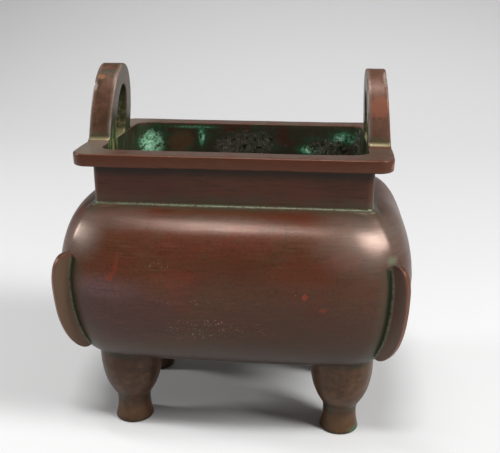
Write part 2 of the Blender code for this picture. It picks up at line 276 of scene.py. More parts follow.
# Marks, as centre, radii and what the layer that uses them needs
RED_PATCHES = (
    ((-0.0506, -0.0618, 0.0888), (0.0022, 0.01, 0.0016), 0.50),
    ((-0.0492, -0.0616, 0.0904), (0.0017, 0.01, 0.0018), 0.45),
    ((-0.0480, -0.0614, 0.0926), (0.0013, 0.01, 0.0024), 0.40),
    ((-0.0472, -0.0610, 0.0952), (0.0011, 0.01, 0.0026), 0.34),
    ((-0.0470, -0.0606, 0.0982), (0.0009, 0.01, 0.0026), 0.26),
    ((0.0337, -0.0642, 0.0843), (0.0016, 0.01, 0.0016), 0.75),
    ((0.0414, -0.0636, 0.0784), (0.0020, 0.01, 0.0010), 0.4),
    ((-0.0226, -0.0636, 0.0905), (0.0130, 0.02, 0.0050), 0.15),
    ((0.0313, -0.0629, 0.0935), (0.0200, 0.02, 0.0080), 0.12),
    ((0.0498, -0.0597, 0.0993), (0.0090, 0.02, 0.0050), 0.18),
)
SPECKLED_PLACES = (
    ((-0.0135, -0.0624, 0.0665), (0.0190, 0.02, 0.0070)),
    ((0.0060, -0.0620, 0.0680), (0.0170, 0.02, 0.0060)),
    ((-0.0300, -0.0625, 0.0958), (0.0075, 0.02, 0.0035)),
    ((-0.0170, -0.0640, 0.0800), (0.0200, 0.02, 0.0022)),
)
# Pale places on the shoulder: worn patina whose pale colour also paints the highlights there
WORN_AND_HIGHLIGHT_PLACES = (
    ((-0.0655, -0.0512, 0.1050), (0.0150, 0.018, 0.0150), 1.00),
    ((0.0600, -0.0516, 0.1070), (0.0310, 0.034, 0.0220), 0.82),
    ((-0.0100, -0.0535, 0.1118), (0.0500, 0.014, 0.0050), 0.62),
    ((0.0740, -0.0250, 0.1080), (0.0140, 0.045, 0.0160), 0.80),
    ((-0.0500, -0.0500, 0.1125), (0.0240, 0.014, 0.0080), 0.50),
)
# Painted copper highlights at the ends of the rim's face
PAINTED_RIM_GLINTS = (
    ((0.0690, -0.0455, 0.1364), (0.0014, 0.004, 0.0022), 0.55),
    ((-0.0690, -0.0440, 0.1366), (0.0012, 0.004, 0.0020), 0.45),
)
EAR_PATCHES = (
    ((-0.0645, -0.0103, 0.1685), (0.0026, 0.006, 0.0012), COPPER_PATCH_AND_GLINT, 0.55),
    ((-0.0622, -0.0085, 0.1708), (0.0050, 0.005, 0.0014), OLIVE_GREY, 0.7),
    ((0.0641, -0.0150, 0.1570), (0.0060, 0.010, 0.0060), EAR_RED, 0.65),
    ((0.0668, -0.0080, 0.1700), (0.0016, 0.006, 0.0060), PALE_WEAR_AND_HIGHLIGHT, 0.7),
    ((-0.0668, -0.0130, 0.1645), (0.0012, 0.004, 0.0026), PALE_WEAR_AND_HIGHLIGHT, 0.8),
)
VERDIGRIS = (
    ((-0.0530, 0.0372, 0.1285), (0.0075, 0.012, 0.0080), TURQUOISE, 1.0),
    ((-0.0254, 0.0376, 0.1325), (0.0022, 0.010, 0.0060), BRIGHT_GREEN, 0.8),
    ((-0.0300, 0.0376, 0.1374), (0.0140, 0.010, 0.0009), BRIGHT_GREEN, 0.35),
    ((0.0331, 0.0376, 0.1262), (0.0070, 0.010, 0.0030), BRIGHT_GREEN, 0.9),
    ((0.0510, 0.0376, 0.1325), (0.0080, 0.012, 0.0042), BRIGHT_GREEN, 0.7),
    ((0.0596, 0.0330, 0.1372), (0.0014, 0.004, 0.0015), PALE_YELLOW, 1.0),
)
CRUSTS = (
    ((0.0010, 0.0376, 0.1290), (0.0190, 0.02, 0.0080), 0.55),
    ((-0.0110, 0.0376, 0.1275), (0.0080, 0.02, 0.0050), 0.75),
    ((0.0430, 0.0376, 0.1270), (0.0140, 0.02, 0.0060), 0.95),
    ((0.0590, 0.0300, 0.1300), (0.0040, 0.02, 0.0080), 0.90),
)

# Studio paper, its glow from the room, and the lights as name, place, target, size and power
PAPER_HALF_WIDTH = 3.0
PAPER_FRONT = -3.0
PAPER_HEIGHT = 3.0
PAPER_BEND_START = 0.7
PAPER_BEND_RADIUS = 2.6
PAPER_BEND_STEPS = 16
PAPER_GREY = 0.82
PAPER_ROUGHNESS = 0.95
ROOM_GLOW = 0.12
BURNER_MIDDLE = (0.0, 0.0, 0.09)
LIGHTS = (
    ("overhead", (-0.05, -0.70, 1.58), BURNER_MIDDLE, (0.46, 0.20), 10.6),
    ("top_strip", (-0.16, -0.30, 1.54), BURNER_MIDDLE, (0.60, 0.06), 3.6),
    ("right_softbox", (1.12, -0.48, 1.02), BURNER_MIDDLE, (0.38, 0.66), 18.4),
    ("left_softbox", (-0.94, 0.01, 0.43), BURNER_MIDDLE, (0.16, 0.20), 3.2),
    ("backdrop_light", (0.0, 0.75, 1.10), (0.0, 1.65, 0.67), (2.0, 0.4), 8.0),
)


def blend(first, second, share):
    """The number this share of the way from the first to the second."""
    return first + (second - first) * share


def rounded_quadrant(half_x, half_y, radius):
    """Quarter of a rectangle with round corners, from the +X side round to the +Y side."""
    points = []
    for step in range(FLAT_STEPS + 1):
        points.append((half_x, (half_y - radius) * step / FLAT_STEPS))
    for step in range(1, CORNER_STEPS):
        angle = QUARTER_TURN * step / CORNER_STEPS
        x = half_x - radius + radius * math.cos(angle)
        y = half_y - radius + radius * math.sin(angle)
        points.append((x, y))
    for step in range(FLAT_STEPS + 1):
        points.append(((half_x - radius) * (1.0 - step / FLAT_STEPS), half_y))
    return points


def bowed_point(half_x, half_y, squareness, normal_angle):
    """Point of a bowed rectangle whose outward normal makes this angle with +X."""
    ratio = (half_y * math.tan(normal_angle) / half_x) ** (1.0 / (squareness - 1.0))
    share = (1.0 + ratio ** squareness) ** (-1.0 / squareness)
    return half_x * share, half_y * ratio * share


def fin_offset():
    """How far a fin stands aside of the line through the axis that is parallel to it."""
    x, y = bowed_point(0.5 * BELLY_LENGTH, 0.5 * BELLY_DEPTH, BELLY_SQUARENESS, FIN_PLAN_ANGLE)
    return y * math.cos(FIN_PLAN_ANGLE) - x * math.sin(FIN_PLAN_ANGLE)


FIN_OFFSET = fin_offset()


def bowed_quadrant(half_x, half_y, squareness):
    """Quarter of a bowed rectangle with as many points as rounded_quadrant gives."""
    points = []
    start = bowed_point(half_x, half_y, squareness, CORNER_START_ANGLE)
    end = bowed_point(half_x, half_y, squareness, QUARTER_TURN - CORNER_START_ANGLE)
    for step in range(FLAT_STEPS + 1):
        y = start[1] * step / FLAT_STEPS
        x = half_x * (1.0 - (y / half_y) ** squareness) ** (1.0 / squareness)
        points.append((x, y))
    for step in range(1, CORNER_STEPS):
        share = step / CORNER_STEPS
        angle = CORNER_START_ANGLE * (1.0 - share) + (QUARTER_TURN - CORNER_START_ANGLE) * share
        points.append(bowed_point(half_x, half_y, squareness, angle))
    for step in range(FLAT_STEPS + 1):
        x = end[0] * (1.0 - step / FLAT_STEPS)
        y = half_y * (1.0 - (x / half_x) ** squareness) ** (1.0 / squareness)
        points.append((x, y))
    return points


def between(first, second, share):
    """Outline part of the way from one outline to another."""
    return [(blend(a[0], b[0], share), blend(a[1], b[1], share)) for a, b in zip(first, second)]


def rim_quadrant(inset):
    """Quarter of the rim's outline, whose short sides bow outward a little."""
    half_x = 0.5 * RIM_LENGTH - inset
    half_y = 0.5 * RIM_DEPTH - inset
    bowed = []
    for x, y in rounded_quadrant(half_x, half_y, RIM_CORNER_RADIUS - inset):
        bowed.append((x - RIM_SIDE_BOW * (y / half_y) ** RIM_BOW_POWER * x / half_x, y))
    return bowed


def neck_quadrant(outset):
    """Quarter of the neck's outline."""
    half_x = 0.5 * NECK_LENGTH + outset
    half_y = 0.5 * NECK_DEPTH + outset
    return rounded_quadrant(half_x, half_y, NECK_CORNER_RADIUS + outset)


def mouth_quadrant(outset):
    """Quarter of the mouth's outline."""
    half_x = 0.5 * MOUTH_LENGTH + outset
    half_y = 0.5 * MOUTH_DEPTH + outset
    return rounded_quadrant(half_x, half_y, MOUTH_CORNER_RADIUS + outset)


def scale_to_neck(x, y, outset):
    """How much a point must be scaled from the axis to lie on the neck's outline."""
    half_x = 0.5 * NECK_LENGTH + outset
    half_y = 0.5 * NECK_DEPTH + outset
    radius = NECK_CORNER_RADIUS + outset
    centre_x = half_x - radius
    centre_y = half_y - radius
    if y * half_x <= x * centre_y:
        return half_x / x
    if x * half_y <= y * centre_x:
        return half_y / y
    along = x * centre_x + y * centre_y
    square = x ** 2 + y ** 2
    beyond = centre_x ** 2 + centre_y ** 2 - radius ** 2
    return (along + math.sqrt(along ** 2 - square * beyond)) / square


def kept_outside_neck(outline, outset, strength):
    """Push the points of an outline softly out to the neck's flared foot."""
    pushed = []
    for x, y in outline:
        reach = math.hypot(x, y)
        short = reach * (scale_to_neck(x, y, outset) - 1.0)
        push = 0.5 * (short + math.hypot(short, NECK_FOOT_SOFTNESS)) - NECK_FOOT_LEAST_PUSH
        scale = 1.0 + strength * max(0.0, push) / reach
        pushed.append((x * scale, y * scale))
    return pushed


def full_ring(quadrant, z):
    """Mirror a quarter outline round to a closed ring at height z."""
    forward = quadrant[:-1]
    backward = quadrant[:0:-1]
    ring = [(x, y, z) for x, y in forward]
    ring += [(-x, y, z) for x, y in backward]
    ring += [(-x, -y, z) for x, y in forward]
    ring += [(x, -y, z) for x, y in backward]
    return ring


def arc_shares():
    """Cosine and sine at each step of a quarter turn."""
    angles = [QUARTER_TURN * step / ARC_STEPS for step in range(ARC_STEPS + 1)]
    return [(math.cos(angle), math.sin(angle)) for angle in angles]


def shoulder_share(angle):
    """How far out and how far up the shoulder is at this angle, both from 0 to 1."""
    up = math.sin(angle)
    out = max(0.0, 1.0 - up ** SHOULDER_RISE_POWER) ** (1.0 / SHOULDER_ROUND_POWER)
    return out, up


def shoulder_angle(out):
    """The angle at which the shoulder is this share of the way out."""
    return math.asin((1.0 - out ** SHOULDER_ROUND_POWER) ** (1.0 / SHOULDER_RISE_POWER))


def lower_section(angle):
    """Half sizes, squareness and height of the belly's outside below its widest level."""
    out = math.cos(angle)
    half_x = 0.5 * blend(UNDERSIDE_LENGTH, BELLY_LENGTH, out)
    half_y = 0.5 * blend(UNDERSIDE_DEPTH, BELLY_DEPTH, out)
    squareness = blend(UNDERSIDE_SQUARENESS, BELLY_SQUARENESS, out)
    return half_x, half_y, squareness, WIDEST_Z + (WIDEST_Z - UNDERSIDE_Z) * math.sin(angle)


def shoulder_section(out, up):
    """Half sizes, squareness and height of the belly's outside above its widest level."""
    half_x = 0.5 * blend(NECK_LENGTH, BELLY_LENGTH, out)
    half_y = 0.5 * blend(NECK_DEPTH, BELLY_DEPTH, out)
    return half_x, half_y, BELLY_SQUARENESS, blend(WIDEST_Z, SHOULDER_Z, up)


def flat_rings(edge, z):
    """Rings of a flat underside or floor, from near its middle out to its edge."""
    shares = [step / CAP_STEPS for step in range(1, CAP_STEPS)]
    return [full_ring([(x * share, y * share) for x, y in edge], z) for share in shares]


def underside_rings():
    """Rings of the flat underside, from near its middle out to its edge."""
    edge = bowed_quadrant(0.5 * UNDERSIDE_LENGTH, 0.5 * UNDERSIDE_DEPTH, UNDERSIDE_SQUARENESS)
    return flat_rings(edge, UNDERSIDE_Z)


def belly_rings():
    """Rings of the belly's outside, from its underside up to the foot of the neck."""
    rings = []
    for step in range(LOWER_STEPS):
        half_x, half_y, squareness, z = lower_section(-QUARTER_TURN * (1.0 - step / LOWER_STEPS))
        rings.append(full_ring(bowed_quadrant(half_x, half_y, squareness), z))
    for step in range(SHOULDER_STEPS + 1):
        reach = 1.0 - (1.0 - SHOULDER_END) * step / SHOULDER_STEPS
        out, up = shoulder_share(shoulder_angle(reach))
        half_x, half_y, squareness, z = shoulder_section(out, up)
        outline = bowed_quadrant(half_x, half_y, squareness)
        below_foot = SHOULDER_Z - z
        if below_foot < NECK_FOOT_REACH:
            strength = min(1.0, 2.0 * (1.0 - below_foot / NECK_FOOT_REACH))
            outline = kept_outside_neck(outline, NECK_FOOT_FILLET + NECK_FOOT_FLARE * below_foot, strength)
        rings.append(full_ring(outline, z))
    return rings


def neck_rings():
    """Rings of the neck, with a small fillet at its foot and at its head."""
    rings = []
    for cosine, sine in arc_shares()[1:]:
        outline = neck_quadrant(NECK_FOOT_FILLET * (1.0 - sine))
        rings.append(full_ring(outline, SHOULDER_Z + NECK_FOOT_FILLET * (1.0 - cosine)))
    low = SHOULDER_Z + NECK_FOOT_FILLET
    high = RIM_UNDERSIDE_Z - NECK_HEAD_FILLET
    for step in range(1, NECK_WALL_STEPS):
        rings.append(full_ring(neck_quadrant(0.0), low + (high - low) * step / NECK_WALL_STEPS))
    for cosine, sine in arc_shares():
        outline = neck_quadrant(NECK_HEAD_FILLET * (1.0 - cosine))
        rings.append(full_ring(outline, high + NECK_HEAD_FILLET * sine))
    return rings


def rim_rings():
    """Rings of the rim, from under its outer edge over the top to the mouth's edge."""
    rings = []
    for cosine, sine in arc_shares():
        outline = rim_quadrant(EDGE_ROUND * (1.0 - sine))
        rings.append(full_ring(outline, RIM_UNDERSIDE_Z + EDGE_ROUND * (1.0 - cosine)))
    rings.append(full_ring(rim_quadrant(0.0), 0.5 * (RIM_UNDERSIDE_Z + RIM_TOP_Z)))
    for cosine, sine in arc_shares():
        outline = rim_quadrant(EDGE_ROUND * (1.0 - cosine))
        rings.append(full_ring(outline, RIM_TOP_Z - EDGE_ROUND * (1.0 - sine)))
    outer = rim_quadrant(EDGE_ROUND)
    inner = mouth_quadrant(EDGE_ROUND)
    for step in range(1, RIM_TOP_STEPS):
        rings.append(full_ring(between(outer, inner, step / RIM_TOP_STEPS), RIM_TOP_Z))
    for cosine, sine in arc_shares():
        outline = mouth_quadrant(EDGE_ROUND * (1.0 - sine))
        rings.append(full_ring(outline, RIM_TOP_Z - EDGE_ROUND * (1.0 - cosine)))
    return rings


def inner_rings():
    """Rings of the inside, from the mouth's wall down to the middle of the floor."""
    rings = []
    top = RIM_TOP_Z - EDGE_ROUND
    for step in range(1, MOUTH_WALL_STEPS):
        rings.append(full_ring(mouth_quadrant(0.0), top + (CEILING_Z - top) * step / MOUTH_WALL_STEPS))
    belly_x = 0.5 * BELLY_LENGTH - WALL
    belly_y = 0.5 * BELLY_DEPTH - WALL
    mouth = mouth_quadrant(0.0)
    for step in range(INNER_STEPS + 1):
        out, up = shoulder_share(shoulder_angle(step / INNER_STEPS))
        half_x = blend(0.5 * MOUTH_LENGTH, belly_x, out)
        half_y = blend(0.5 * MOUTH_DEPTH, belly_y, out)
        outline = bowed_quadrant(half_x, half_y, BELLY_SQUARENESS)
        to_mouth = max(0.0, 1.0 - out / SHOULDER_BLEND)
        outline = between(outline, mouth, to_mouth * to_mouth)
        rings.append(full_ring(outline, blend(WIDEST_Z, CEILING_Z, up)))
    floor_x = 0.5 * UNDERSIDE_LENGTH - WALL
    floor_y = 0.5 * UNDERSIDE_DEPTH - WALL
    for step in range(1, INNER_STEPS + 1):
        angle = QUARTER_TURN * step / INNER_STEPS
        out = math.cos(angle)
        squareness = blend(UNDERSIDE_SQUARENESS, BELLY_SQUARENESS, out)
        outline = bowed_quadrant(blend(floor_x, belly_x, out), blend(floor_y, belly_y, out), squareness)
        rings.append(full_ring(outline, blend(WIDEST_Z, FLOOR_Z, math.sin(angle))))
    return rings + flat_rings(bowed_quadrant(floor_x, floor_y, UNDERSIDE_SQUARENESS), FLOOR_Z)[::-1]


def loft(mesh, rings, inside_from=None):
    """Skin closed rings in order and cap both ends; rings from inside_from on are the hollow."""
    loops = [[mesh.verts.new(point) for point in ring] for ring in rings]
    count = len(loops[0])
    for place, (lower, upper) in enumerate(zip(loops, loops[1:])):
        for index in range(count):
            after = (index + 1) % count
            face = mesh.faces.new((lower[index], lower[after], upper[after], upper[index]))
            if inside_from is not None and place >= inside_from:
                face.material_index = 1
    mesh.faces.new(reversed(loops[0]))
    last = mesh.faces.new(loops[-1])
    last.material_index = 0 if inside_from is None else 1


def leg_profile():
    """Radius and height along a leg, from the foot up to its root."""
    profile = []
    for cosine, sine in arc_shares():
        profile.append((FOOT_RADIUS - FOOT_EDGE * (1.0 - sine), FOOT_EDGE * (1.0 - cosine)))
    for step in range(1, STEM_STEPS + 1):
        share = 1.0 - step / STEM_STEPS
        radius = blend(LEG_WAIST_RADIUS, FOOT_RADIUS, share ** 2)
        profile.append((radius, blend(LEG_WAIST_HEIGHT, FOOT_EDGE, share)))
    for step in range(1, STEM_STEPS):
        share = step / STEM_STEPS
        radius = blend(LEG_WAIST_RADIUS, LEG_CUP_BASE_RADIUS, share ** 2)
        profile.append((radius, blend(LEG_WAIST_HEIGHT, LEG_CUP_BASE_HEIGHT, share)))
    for step in range(CUP_STEPS + 1):
        fall = math.cos(QUARTER_TURN * step / CUP_STEPS)
        swell = max(0.0, 1.0 - fall ** LEG_CUP_FALL_POWER) ** LEG_CUP_ROUND_POWER
        radius = blend(LEG_CUP_BASE_RADIUS, LEG_CUP_RADIUS, swell)
        profile.append((radius, blend(LEG_HEIGHT, LEG_CUP_BASE_HEIGHT, fall)))
    for step in range(1, LEG_ROOT_STEPS + 1):
        profile.append((LEG_CUP_RADIUS, LEG_HEIGHT + LEG_ROOT * step / LEG_ROOT_STEPS))
    flared = []
    for radius, height in profile:
        near_top = max(0.0, (height - LEG_HEIGHT + LEG_FLARE_HEIGHT) / (LEG_FLARE_HEIGHT + LEG_ROOT))
        flared.append((radius + LEG_FLARE * near_top ** 2, height))
    return flared


def add_legs(mesh):
    """Four turned legs."""
    for sign_x in (-1.0, 1.0):
        for sign_y in (-1.0, 1.0):
            rings = []
            for radius, height in leg_profile():
                ring = []
                for segment in range(LEG_SEGMENTS):
                    angle = 2.0 * math.pi * (segment + 0.5) / LEG_SEGMENTS
                    x = sign_x * 0.5 * LEG_SPACING_X + radius * math.cos(angle)
                    y = sign_y * 0.5 * LEG_SPACING_Y + radius * math.sin(angle)
                    ring.append((x, y, height))
                rings.append(ring)
            loft(mesh, rings)


def ear_pair(angle, ear_height):
    """Outside point and opening point of an ear at the same angle round its arch."""
    height = ear_height * math.sin(angle)
    half = 0.5 * EAR_WIDTH * abs(math.cos(angle))
    half += EAR_FOOT_SPREAD * max(0.0, 1.0 - height / EAR_FOOT_HEIGHT) ** 2
    inner_height = (ear_height - EAR_CROWN) * math.sin(angle)
    rise = math.sin(angle) ** EAR_OPENING_POWER
    inner_half = 0.5 * EAR_OPENING_WIDTH * max(0.0, 1.0 - rise) ** 0.5
    inner_half -= 0.5 * EAR_FOOT_SPREAD * max(0.0, 1.0 - inner_height / EAR_FOOT_HEIGHT) ** 2
    side = -math.copysign(1.0, math.cos(angle))
    return (side * half, height), (side * max(0.0, inner_half), inner_height)


def rounded_section(width, depth, radius):
    """Closed outline of a rectangle with round corners, from its first corner round."""
    points = []
    corners = (
        (radius, radius, math.pi, (1.0, 0.0)),
        (width - radius, radius, 1.5 * math.pi, (0.0, 1.0)),
        (width - radius, depth - radius, 0.0, (-1.0, 0.0)),
        (radius, depth - radius, QUARTER_TURN, (0.0, -1.0)),
    )
    for centre_a, centre_b, start, along in corners:
        for step in range(ARC_STEPS + 1):
            angle = start + QUARTER_TURN * step / ARC_STEPS
            points.append((centre_a + radius * math.cos(angle), centre_b + radius * math.sin(angle)))
        run = (width if along[0] else depth) - 2.0 * radius
        last = points[-1]
        for step in range(1, EAR_SIDE_STEPS):
            share = run * step / EAR_SIDE_STEPS
            points.append((last[0] + along[0] * share, last[1] + along[1] * share))
    return points


def ear_angles(ear_height):
    """Angles round the arch, close together at the feet."""
    near = [
        math.asin(EAR_FOOT_HEIGHT * step / EAR_FOOT_STEPS / ear_height) for step in range(EAR_FOOT_STEPS)
    ]
    first = math.asin(EAR_FOOT_HEIGHT / ear_height)
    middle = [first + (math.pi - 2.0 * first) * step / EAR_STEPS for step in range(EAR_STEPS + 1)]
    return near + middle + [math.pi - angle for angle in reversed(near)]


def add_ear(mesh, side, ear_height, inner_lean):
    """Loop ear on the rim's side of this sign, with its feet sunk into the rim."""
    outer_edge = 0.5 * RIM_LENGTH - EAR_OUTER_SETBACK
    inner_edge = 0.5 * MOUTH_LENGTH + EAR_INNER_SETBACK
    pairs = [ear_pair(angle, ear_height) for angle in ear_angles(ear_height)]
    front, back = pairs[0], pairs[-1]
    pairs.insert(0, ((front[0][0], -EAR_ROOT), (front[1][0], -EAR_ROOT)))
    pairs.append(((back[0][0], -EAR_ROOT), (back[1][0], -EAR_ROOT)))
    rings = []
    for outer, inner in pairs:
        along_y = inner[0] - outer[0]
        along_z = inner[1] - outer[1]
        length = math.hypot(along_y, along_z)
        middle_z = max(0.0, 0.5 * (outer[1] + inner[1]))
        depth = outer_edge - inner_edge - (EAR_OUTER_LEAN - inner_lean) * middle_z
        ring = []
        for across, inward in rounded_section(length, depth, EAR_EDGE):
            share = across / length
            y = outer[0] + along_y * share
            z = outer[1] + along_z * share
            lean = EAR_OUTER_LEAN + (inner_lean - EAR_OUTER_LEAN) * inward / depth
            x = outer_edge - lean * max(0.0, z) - inward
            ring.append((side * x, y, RIM_TOP_Z + z))
        rings.append(ring)
    loft(mesh, rings)


def belly_corner_point(angle):
    """Distance from the axis and height of the belly's outside in a fin's upright plane."""
    if angle < 0.0:
        half_x, half_y, squareness, z = lower_section(angle)
    else:
        half_x, half_y, squareness, z = shoulder_section(*shoulder_share(angle))
    x, y = bowed_point(half_x, half_y, squareness, FIN_PLAN_ANGLE)
    return Vector((x * math.cos(FIN_PLAN_ANGLE) + y * math.sin(FIN_PLAN_ANGLE), z))


def fin_reach(place):
    """How far the fin stands out, at a place from -1 at its bottom end to 1 at its top end."""
    power = FIN_TOP_POWER if place > 0.0 else FIN_BOTTOM_POWER
    return FIN_REACH * max(0.0, 1.0 - abs(place) ** power) ** 0.5 + FIN_EDGE


def fin_section(reach):
    """Points of a fin's section, as distance out from the belly and distance across."""
    half = 0.5 * FIN_THICKNESS
    high = reach - FIN_EDGE
    one_side = [(-FIN_ROOT, half + FIN_FILLET)]
    for cosine, sine in arc_shares():
        one_side.append((min(FIN_FILLET * (1.0 - cosine), high), half + FIN_FILLET * (1.0 - sine)))
    low = one_side[-1][0]
    for step in range(1, FIN_SIDE_STEPS + 1):
        one_side.append((low + (high - low) * step / FIN_SIDE_STEPS, half))
    for cosine, sine in arc_shares()[1:]:
        one_side.append((high + FIN_EDGE * sine, half - FIN_EDGE * (1.0 - cosine)))
    one_side.append((reach, 0.3 * half))
    return [(out, -across) for out, across in one_side] + list(reversed(one_side))


def add_fins(mesh):
    """Four thin fins whose outline follows the belly's corners."""
    bottom_angle = math.asin((FIN_BOTTOM_RISE - BELLY_WIDEST_HEIGHT) / BELLY_WIDEST_HEIGHT)
    top_angle = math.asin((FIN_TOP_Z - WIDEST_Z) / (SHOULDER_Z - WIDEST_Z))
    direction = Vector((math.cos(FIN_PLAN_ANGLE), math.sin(FIN_PLAN_ANGLE), 0.0))
    sideways = Vector((-math.sin(FIN_PLAN_ANGLE), math.cos(FIN_PLAN_ANGLE), 0.0))
    rings = []
    for step in range(FIN_STEPS + 1):
        place = -math.cos(math.pi * step / FIN_STEPS)
        angle = 0.5 * (bottom_angle + top_angle + (top_angle - bottom_angle) * place)
        base = belly_corner_point(angle)
        tangent = belly_corner_point(angle + FIN_NORMAL_STEP) - base
        normal = Vector((tangent.y, -tangent.x)).normalized()
        ring = []
        for out, across in fin_section(fin_reach(place)):
            point = base + normal * out
            corner = direction * point.x + sideways * (across + FIN_OFFSET)
            ring.append((corner.x, corner.y, point.y))
        rings.append(ring)
    for sign_x in (-1.0, 1.0):
        for sign_y in (-1.0, 1.0):
            loft(mesh, [[(sign_x * x, sign_y * y, z) for x, y, z in ring] for ring in rings])


def new_object(name, mesh):
    """Turn a bmesh into a scene object whose faces point outward."""
    bmesh.ops.recalc_face_normals(mesh, faces=mesh.faces)
    data = bpy.data.meshes.new(name)
    mesh.to_mesh(data)
    mesh.free()
    item = bpy.data.objects.new(name, data)
    bpy.context.scene.collection.objects.link(item)
    return item


def build_casting():
    """The whole casting as one closed mesh."""
    vessel = bmesh.new()
    outer = underside_rings() + belly_rings() + neck_rings() + rim_rings()
    loft(vessel, outer + inner_rings(), inside_from=len(outer) - 1 - ARC_STEPS)
    body = new_object("burner_casting", vessel)
    added = bmesh.new()
    add_legs(added)
    add_fins(added)
    add_ear(added, -1.0, LEFT_EAR_HEIGHT, LEFT_EAR_INNER_LEAN)
    add_ear(added, 1.0, RIGHT_EAR_HEIGHT, RIGHT_EAR_INNER_LEAN)
    helper = new_object("cast_on_forms", added)
    for item in (body, helper):
        for name in ("outside", "hollow"):
            item.data.materials.append(bpy.data.materials.get(name) or bpy.data.materials.new(name))
    union = body.modifiers.new("cast_on_forms", "BOOLEAN")
    union.operation = "UNION"
    union.solver = "EXACT"
    union.object = helper
    depsgraph = bpy.context.evaluated_depsgraph_get()
    joined = bpy.data.meshes.new_from_object(body.evaluated_get(depsgraph))
    body.modifiers.clear()
    body.data = joined
    bpy.data.objects.remove(helper)
    return body


def mark_hollow(mesh):
    """Store on each point whether it belongs to the inside of the vessel."""
    inside = np.zeros(len(mesh.vertices), dtype=np.float32)
    for polygon in mesh.polygons:
        if polygon.material_index == 1:
            inside[list(polygon.vertices)] = 1.0
            polygon.material_index = 0
    mesh.attributes.new("inside", "FLOAT", "POINT").data.foreach_set("value", inside)
    return inside


def mark_edges(mesh):
    """Store on each point how far it sticks out along an edge."""
    count = len(mesh.vertices)
    places = np.empty(3 * count)
    normals = np.empty(3 * count)
    ends = np.empty(2 * len(mesh.edges), dtype=np.int64)
    mesh.vertices.foreach_get("co", places)
    mesh.vertices.foreach_get("normal", normals)
    mesh.edges.foreach_get("vertices", ends)
    places = places.reshape(-1, 3)
    normals = normals.reshape(-1, 3)
    first, second = ends.reshape(-1, 2).T
    along = places[second] - places[first]
    along /= np.maximum(np.linalg.norm(along, axis=1), 1e-9)[:, None]
    total = np.zeros(count)
    degree = np.zeros(count)
    np.add.at(total, first, np.einsum("ij,ij->i", along, normals[first]))
    np.add.at(total, second, -np.einsum("ij,ij->i", along, normals[second]))
    np.add.at(degree, first, 1.0)
    np.add.at(degree, second, 1.0)
    bend = total / np.maximum(degree, 1.0)
    edge = np.clip((-bend - EDGE_BEND_START) / (EDGE_BEND_FULL - EDGE_BEND_START), 0.0, 1.0)
    mesh.attributes.new("edge", "FLOAT", "POINT").data.foreach_set("value", edge.astype(np.float32))


def hip_rise(place):
    """Height of the low ridge that runs from a fin's top up to the neck's corner."""
    above_fin = min(1.0, max(0.0, (place.z - FIN_TOP_Z - HIP_LOW_START) / HIP_LOW_FADE))
    below_neck = min(1.0, max(0.0, (SHOULDER_Z - HIP_HIGH_END - place.z) / HIP_HIGH_FADE))
    sideways = abs(place.y) * math.cos(FIN_PLAN_ANGLE) - abs(place.x) * math.sin(FIN_PLAN_ANGLE)
    aside = min(1.0, abs(sideways - FIN_OFFSET) / HIP_WIDTH)
    return HIP_RISE * above_fin * below_neck * (1.0 - aside) ** 2


def age_surface(mesh, inside):
    """Give the mesh the slight unevenness of a hand-finished casting, and its chips."""
    normals = [vertex.normal.copy() for vertex in mesh.vertices]
    for vertex, normal, hollow in zip(mesh.vertices, normals, inside):
        place = vertex.co.copy()
        above_table = min(1.0, max(0.0, (place.z - FOOT_EDGE) / UNEVEN_FADE))
        slow = noise.noise(place * UNEVEN_SLOW_SCALE)
        quick = noise.noise(place * UNEVEN_QUICK_SCALE)
        shift = above_table * (UNEVEN_SLOW * slow + UNEVEN_QUICK * quick)
        if not hollow:
            shift += hip_rise(place)
        for centre, radius, depth in CHIPS:
            distance = (place - Vector(centre)).length
            ragged = distance / radius + CHIP_RAGGED * noise.noise(place * CHIP_SCALE)
            if ragged < 1.0:
                shift -= depth * (1.0 - max(0.0, ragged) ** 2)
        vertex.co = place + normal * shift


class Field:
    """A number that varies over the surface, held by a shader socket."""

    def __init__(self, tree, socket):
        self.tree = tree
        self.socket = socket

    def math(self, operation, *others):
        node = self.tree.nodes.new("ShaderNodeMath")
        node.operation = operation
        for operand, entry in zip((self,) + others, node.inputs):
            plug(self.tree, operand, entry)
        return Field(self.tree, node.outputs[0])

    def __add__(self, other):
        return self.math("ADD", other)

    def __sub__(self, other):
        return self.math("SUBTRACT", other)

    def __mul__(self, other):
        return self.math("MULTIPLY", other)

    def __abs__(self):
        return self.math("ABSOLUTE")

    def least(self, other):
        return self.math("MINIMUM", other)

    def most(self, other):
        return self.math("MAXIMUM", other)

    def length_with(self, other):
        """Length of the arrow whose two parts are this field and the other one."""
        return (self * self + other * other).math("SQRT")

    def rise(self, empty, full):
        """0 where the field is at empty or past it, 1 at full or past it, smooth between."""
        node = self.tree.nodes.new("ShaderNodeMapRange")
        node.interpolation_type = "SMOOTHSTEP"
        flip = full < empty
        plug(self.tree, self, node.inputs["Value"])
        node.inputs["From Min"].default_value = min(empty, full)
        node.inputs["From Max"].default_value = max(empty, full)
        node.inputs["To Min"].default_value = 1.0 if flip else 0.0
        node.inputs["To Max"].default_value = 0.0 if flip else 1.0
        return Field(self.tree, node.outputs[0])

    def band(self, low, high, soft):
        """1 between low and high, falling to 0 over a soft margin."""
        return self.rise(low - soft, low) * self.rise(high + soft, high)


def plug(tree, value, entry):
    """Link a field or a socket to an input, or set a plain number on it."""
    if isinstance(value, Field):
        tree.links.new(value.socket, entry)
    elif isinstance(value, bpy.types.NodeSocket):
        tree.links.new(value, entry)
    else:
        entry.default_value = value


